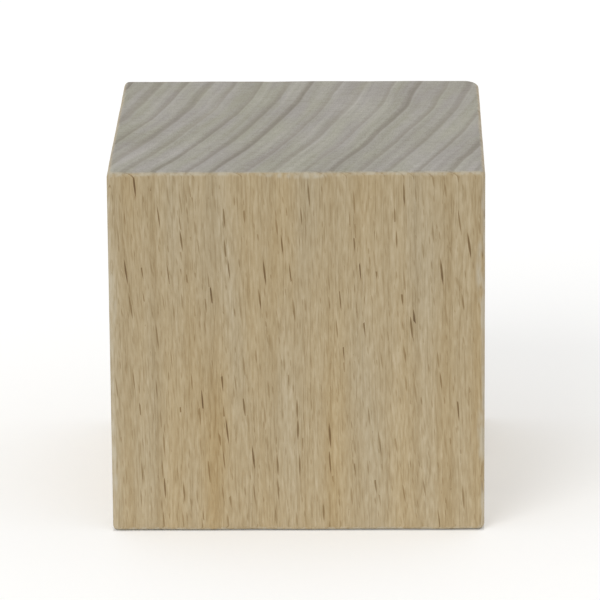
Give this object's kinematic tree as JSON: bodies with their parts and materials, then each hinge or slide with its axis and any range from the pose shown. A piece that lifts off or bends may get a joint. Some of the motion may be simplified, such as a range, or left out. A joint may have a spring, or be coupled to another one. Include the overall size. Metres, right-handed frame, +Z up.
{
  "type": "wooden cube",
  "caption": "Solid beech cube with sanded flat faces, eased arrises and rounded corners, one worn rounder. It rests, stacks, spaces, props or takes glue on any face.",
  "frame": {"origin": "middle of the face that the cube rests on, which is end grain", "axes": "+Z up along the grain, to the top end-grain face; +X to the right and +Y to the back, each square to a side face; the worn corner is the one at +X, +Y, +Z"},
  "size_m": [0.04, 0.04, 0.04],
  "materials": {
    "beech": "sanded bare, unfinished"
  },
  "bodies": {
    "root": {"wooden_cube": "beech"}
  },
  "joints": []
}
